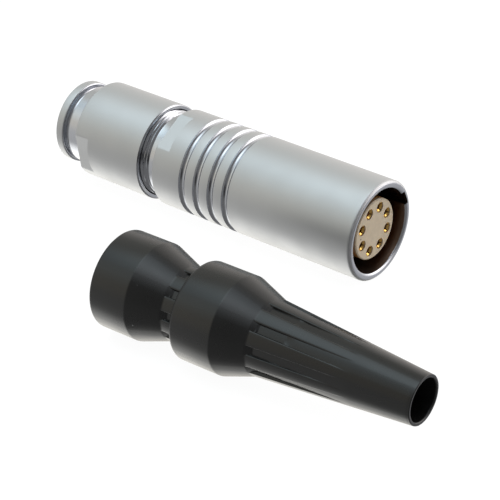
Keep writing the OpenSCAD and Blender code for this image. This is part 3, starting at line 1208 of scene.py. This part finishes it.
def nut_mesh(size, shell):
    """Closed surface of the back nut: a turned section with two flats milled behind.

    Its outside and its flange are blasted; its edges, neck and inside stay bright.
    """
    profile = nut_profile(size, shell)
    x, radius = profile[:, :1], profile[:, 1:]
    half = shell.across_flats / 2
    edges = np.mod(flat_edges(size.radius, half, size.flat_clock), 2 * math.pi)
    even = np.linspace(0, 2 * math.pi, 240, endpoint=False)
    even = even[np.min(np.abs(even[:, None] - edges), axis=1) > 0.3 * even[1]]
    clock = np.sort(np.concatenate([even, edges]))[None, :]
    end = NUT_HIGH.x - size.length
    flat_front, flat_rear = end + size.flat_length, end - 1 * MICRON
    milled = flattened(radius, x, clock, half, size.flat_clock, flat_front, flat_rear)
    # the cutter leaves the inside and the front alone
    milled_rows = (radius > size.mouth_radius + 0.15 * MM) & (x < NUT_HIGH.x - 1 * MM)
    r = np.where(milled_rows, milled, radius)

    middle_x, middle_r = ((profile + np.roll(profile, -1, axis=0)) / 2).T
    body = (middle_r > size.radius - 0.2 * MM) & (middle_x > end + 1 * MICRON)
    body &= middle_x < NUT_HIGH.x - size.edge
    flange = (middle_r > size.flange_radius - 0.15 * MM) & (middle_x < end - 2.9 * MM)
    tints = np.where(body | flange, 0, 1)
    return ring_mesh("back_nut_skin", turned(x, r, clock), tints)


class DressBoot(Operator):
    """Moulded bend relief boot with two bulbs, a fluted taper and a snap cap"""

    bl_idname = "connector.dress_boot"
    bl_label = "Dress Boot"

    def execute(self, context):
        mesh = boot_mesh(context.scene.connector_boot)
        add_piece(mesh, "root", ["boot"], [finish_of("boot")])
        return {"FINISHED"}


# the middle of the cap's edge, then places and radii inside the cap
BOOT_PLACE = np.array([-16.9, -25.5, -0.42]) * MM
CAP_BORE_R, CAP_LIP_R, CAP_GROOVE_R = 4.95 * MM, 4.4 * MM, 5.2 * MM
CAP_LIP_AT, CAP_GROOVE_AT, CAP_WALL_AT = 2.05 * MM, 2.8 * MM, 4.05 * MM
CABLE_BORE_R = 2.4 * MM
# the round at a flute's brink, how much of it is there, and the fall of the wall
FLUTE_BEND = 0.15 * MM
BEND_SHARE = 0.94
WALL_FALL = 6


def boot_profile(size):
    """Closed section of the boot, from its cap's edge to its mouth and back inside.

    Rows of x and radius. The outside is sampled closely where flutes and pockets
    begin, so that their ramps come out smooth.
    """
    soft, step, mouth = 0.12 * MM, 0.06 * MM, size.mouth_radius
    outside = rounded(
        [
            [0, CAP_BORE_R, step],
            [0, size.radius, 0.5 * MM],
            [size.cap_length, size.radius, soft],
            [size.waist_start, size.waist_radius, soft],
            [size.bulb_start, size.waist_radius, step],
            [size.bulb_start, size.radius, 0.45 * MM],
            [size.bulb_end, size.radius, soft],
            [size.taper_start, size.taper_radius, soft],
            [size.length - 0.25 * MM, mouth + 0.02 * MM, 0],
        ]
    )
    inside = rounded(
        [
            [size.length - 0.2 * MM, mouth + 0.01 * MM, 0],
            [size.length, mouth, 0.1 * MM],
            [size.length, CABLE_BORE_R, 0.28 * MM],
            [CAP_WALL_AT, CABLE_BORE_R, step],
            [CAP_WALL_AT, CAP_GROOVE_R, 0],
            [CAP_GROOVE_AT, CAP_GROOVE_R, 0],
            [CAP_GROOVE_AT, CAP_LIP_R, step],
            [CAP_LIP_AT, CAP_LIP_R, step],
            [CAP_LIP_AT, CAP_BORE_R, 0],
            [0.1 * MICRON, CAP_BORE_R, 0],
        ]
    )
    ramps = [size.waist_start, size.taper_start]
    close = np.concatenate([at + np.arange(-1, 1.5, 0.05) * MM for at in ramps])
    even = np.linspace(size.taper_start + 1.6 * MM, size.length - 0.5 * MM, 60)
    waist = np.linspace(size.waist_start + 1.5 * MM, size.bulb_start - 0.1 * MM, 6)
    extra = np.sort(np.concatenate([close, even, waist]))
    # rows that stand at one x, such as the bulb's shoulder, keep their order
    apart = np.min(np.abs(extra[:, None] - outside[None, :, 0]), axis=1)
    extra = extra[apart > 5 * MICRON]
    after = np.searchsorted(np.maximum.accumulate(outside[:, 0]), extra)
    rows = np.stack([extra, np.interp(extra, outside[:, 0], outside[:, 1])], -1)
    return np.vstack([np.insert(outside, after, rows, axis=0), inside])


def channel(size, x, foot, foot_r, length):
    """Radius of a channel's floor along the boot, and endless where there is none.

    It comes down a ramp through the foot of the cone and then runs straight to
    the skin, which it meets at its length from the foot. Without a length it keeps
    its depth.
    """
    fall = (size.taper_radius - size.mouth_radius) / (size.length - size.taper_start)
    skin = foot_r - fall * (x - foot) if length else foot_r
    fade = size.flute_depth * np.clip((x - foot) / length, 0, 1) if length else 0
    ramp = 0.85 * size.flute_depth * (foot - x) / size.flute_ramp
    ramp += foot_r - 0.06 * size.flute_depth
    floor = np.maximum(skin - size.flute_depth + fade, ramp)
    return np.where(x > foot - 1 * MM, floor, 1)


def boot_mesh(size):
    """Closed surface of the boot.

    Each tenth of the way round has columns at fixed distances across its flute and
    even ones on the land beside it. The floor of a flute or pocket takes the place
    of the skin where it lies deeper. Its walls start with a quarter round, of depth
    b - sqrt(b^2 - s^2) at the distance s from the brink, and then fall six in one.
    """
    profile = boot_profile(size)
    x, radius = profile[:, :1, None], profile[:, 1:, None]
    brink = size.flute_width / 2 + 0.08 * MM
    shares = np.array([0, 0.3, 0.55, 0.75, 0.88, BEND_SHARE, 1.05, 1.3])
    left = shares * FLUTE_BEND - brink
    across = np.concatenate([left, [0], -left[::-1]])
    sector = 2 * math.pi / size.flute_count
    at_flute = across[None, :] / radius[:, 0]
    last, following = at_flute[:, -1:], at_flute[:, :1] + sector
    land = last + (following - last) * np.linspace(0, 1, 12)[1:-1]
    angle = np.concatenate([at_flute, land], axis=1)[:, None, :]
    centre = size.flute_clock + sector * np.arange(size.flute_count)[None, :, None]
    distance = np.abs(np.minimum(angle, sector - angle)) * radius

    inward = np.maximum(brink - distance, 0)
    bent = np.minimum(inward, BEND_SHARE * FLUTE_BEND)
    wall = FLUTE_BEND - np.sqrt(FLUTE_BEND**2 - bent**2) + WALL_FALL * (inward - bent)
    flute = channel(size, x, size.taper_start, size.taper_radius, size.flute_length)
    pocket = channel(size, x, size.waist_start, size.waist_radius, 0)
    bulb = size.bulb_start - 1 * MICRON
    floor = np.select([x < bulb, x < size.bulb_end], [pocket, 1], flute)
    mouth = np.argmax(profile[:, 0] >= size.length - 1 * MICRON)
    outer = (np.arange(len(profile)) < mouth)[:, None, None]
    sunk = np.where(outer, np.clip(radius - floor, 0, wall), 0)
    r = radius - sunk + 0 * centre
    points = turned(x + 0 * r, r, centre + angle).reshape(len(profile), -1, 3)
    cos, sin = math.cos(size.turn), math.sin(size.turn)
    points = points @ np.array([[cos, sin, 0], [-sin, cos, 0], [0, 0, 1]])
    return ring_mesh("bend_relief_boot", points + BOOT_PLACE, np.zeros(len(profile), int))


FINISHES = {
    "insulator": ["insulator_front", "insulator_rear"],
    "gold": [f"contact_{i}" for i in range(1, 9)],
    "bronze": ["earth_crown", "snap_ring"],
    "bright": ["carrier_upper", "carrier_lower", "shield_ring", "collet"],
}


class FinishInsert(Operator):
    """Finishes of the insulators, contacts, spring crown, carriers and clamp"""

    bl_idname = "connector.finish_insert"
    bl_label = "Finish Insert"

    def execute(self, context):
        for kind, names in FINISHES.items():
            for name in names:
                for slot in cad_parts[name].material_slots:
                    slot.material = finish_of(kind)
        return {"FINISHED"}


class SetUpStudio(Operator):
    """Pale floor, soft light and the camera"""

    bl_idname = "connector.set_up_studio"
    bl_label = "Set Up Studio"

    def execute(self, context):
        studio = context.scene.connector_studio
        add_floor(context, studio)
        add_camera(context, studio)
        add_sky(context)
        context.scene.view_settings.view_transform = "Standard"
        return {"FINISHED"}


FLOOR_REACH = 2.0
# from the middle of the parts to the point that the camera looks at
LOOK_ASIDE = Vector((2.46 * MM, 0.01 * MM, 0))


def add_floor(context, studio):
    """Flat sheet of 4 m, at the lowest point of the parts."""
    corners = np.array([[-1, -1, 0], [1, -1, 0], [1, 1, 0], [-1, 1, 0]]) * FLOOR_REACH
    corners[:, 2] = CAD_BOX[0][2]
    mesh = quad_mesh("floor", corners, np.array([[0, 1, 2, 3]]), [0])
    material, tree = new_surface("white_photo_sheet")
    # white sheet lit from below, so shadows on it stay faint
    paper = add_node(
        tree, "ShaderNodeBsdfDiffuse", Color=context.scene.connector_colours.paper
    )
    glow = add_node(
        tree, "ShaderNodeEmission", Color=(1, 1, 1, 1), Strength=studio.glow
    )
    both = add_node(
        tree, "ShaderNodeMixShader", i0=0.85, i1=paper.outputs[0], i2=glow.outputs[0]
    )
    add_node(tree, "ShaderNodeOutputMaterial", Surface=both.outputs[0])
    mesh.materials.append(material)
    floor = bpy.data.objects.new("floor", mesh)
    floor.visible_glossy = False
    context.scene.collection.objects.link(floor)


def add_camera(context, studio):
    """Camera on a sphere about the point it looks at, the middle of the parts."""
    low, high = (np.array(corner) for corner in CAD_BOX)
    target = Vector((low + high) / 2) + LOOK_ASIDE
    away = Vector(
        (
            math.sin(studio.azimuth) * math.cos(studio.elevation),
            -math.cos(studio.azimuth) * math.cos(studio.elevation),
            math.sin(studio.elevation),
        )
    )
    data = bpy.data.cameras.new("camera")
    data.lens = studio.lens
    data.sensor_width = 36
    data.clip_start = 0.01
    camera = bpy.data.objects.new("camera", data)
    camera.location = target + away * studio.distance
    camera.rotation_euler = (-away).to_track_quat("-Z", "Y").to_euler()
    context.scene.collection.objects.link(camera)
    context.scene.camera = camera


# even light from everywhere
WALLS = (0.2, 0.2, 0.2, 1)
SKY = (
    # the way to the patch, its reach in degrees, and the light it adds in its middle
    ((-1, 0, 0), 110, (0.34, 0.34, 0.34, 1)),  # even light from the whole rear
    ((0, 0, 1), 30, (0.95, 1.05, 1.15, 1)),  # window light overhead
    ((-0.3, -0.1, 0.95), 28, (0.85, 1.05, 1.1, 1)),  # and a little further back
    ((0.1, -0.35, 0.93), 26, (0.85, 0.9, 0.95, 1)),  # and towards the viewer
    ((-0.53, -0.42, 0.73), 36, (0.34, 0.45, 0.5, 1)),  # sheen along the upper side
    ((-0.53, 0.42, 0.73), 36, (0.25, 0.25, 0.2, 1)),  # its far side
    ((-0.53, -0.73, 0.42), 36, (0.3, 0.25, 0.15, 1)),  # warmer light from the side
    ((-0.53, -0.82, -0.2), 42, (0.16, 0.16, 0.15, 1)),  # pale front of the table
    ((-0.53, 0, -0.85), 36, (1.45, 1.45, 1.4, 1)),  # the white sheet, from below
    ((-0.53, 0.42, -0.73), 36, (0.45, 0.4, 0.32, 1)),  # and behind
    ((-0.53, 0.85, 0), 36, (0.55, 0.5, 0.45, 1)),  # back wall
    ((0.2, 0.9, 0.4), 46, (1.05, 1, 0.95, 1)),  # reflector behind the mouth
    ((0.3, 0.85, -0.45), 46, (0.4, 0.4, 0.42, 1)),  # its lower edge
    ((0.65, 0.68, 0.28), 34, (2.4, 2.3, 2.3, 1)),  # small light on the front ring
    ((-0.53, 0.68, -0.51), 24, (0.6, 0.6, 0.55, 1)),  # glow along the far edges
)


def add_sky(context):
    """Soft studio walls, as patches of light and dark that fade into an even grey."""
    world = bpy.data.worlds.new("studio")
    world.use_nodes = True
    tree = world.node_tree
    tree.nodes.clear()
    direction = add_node(tree, "ShaderNodeTexCoord").outputs["Generated"]
    colour = WALLS
    for axis, reach, patch in SKY:
        towards = add_node(
            tree,
            "ShaderNodeVectorMath",
            {"operation": "DOT_PRODUCT"},
            i0=direction,
            i1=Vector(axis).normalized(),
        )
        share = add_node(
            tree,
            "ShaderNodeMapRange",
            {"interpolation_type": "SMOOTHSTEP"},
            Value=towards.outputs["Value"],
            From_Min=math.cos(math.radians(reach)),
            From_Max=1.0,
        )
        colour = add_node(
            tree,
            "ShaderNodeMix",
            {"data_type": "RGBA", "blend_type": "ADD"},
            i0=share.outputs["Result"],
            i6=colour,
            i7=patch,
        ).outputs[2]
    background = add_node(tree, "ShaderNodeBackground", Color=colour)
    add_node(tree, "ShaderNodeOutputWorld", Surface=background.outputs[0])
    context.scene.world = world


# --- Add-on ------------------------------------------------------------------

OPERATORS = (DressShell, DressBackNut, DressBoot, FinishInsert, SetUpStudio)
GROUPS = {
    "connector_shell": ShellSizes,
    "connector_nut": NutSizes,
    "connector_boot": BootSizes,
    "connector_colours": FinishColours,
    "connector_studio": StudioSizes,
}


class ConnectorPanel(Panel):
    """Lists the connector's pieces and their sizes"""

    bl_idname = "VIEW3D_PT_connector"
    bl_label = "Push Pull Connector"
    bl_space_type = "VIEW_3D"
    bl_region_type = "UI"
    bl_category = "Connector"

    def draw(self, context):
        for operator in OPERATORS:
            self.layout.operator(operator.bl_idname)
        for group, kind in GROUPS.items():
            box = self.layout.box()
            box.label(text=kind.__name__)
            for name in kind.__annotations__:
                box.prop(getattr(context.scene, group), name)


def register():
    for kind in (*GROUPS.values(), *OPERATORS, ConnectorPanel):
        bpy.utils.register_class(kind)
    for group, kind in GROUPS.items():
        setattr(bpy.types.Scene, group, PointerProperty(type=kind))


def unregister():
    for group in GROUPS:
        delattr(bpy.types.Scene, group)
    for kind in (ConnectorPanel, *reversed(OPERATORS), *reversed(GROUPS.values())):
        bpy.utils.unregister_class(kind)


def main():
    register()
    bpy.ops.connector.dress_shell()
    bpy.ops.connector.dress_back_nut()
    bpy.ops.connector.dress_boot()
    bpy.ops.connector.finish_insert()
    bpy.ops.connector.set_up_studio()


if __name__ == "__main__":
    main()
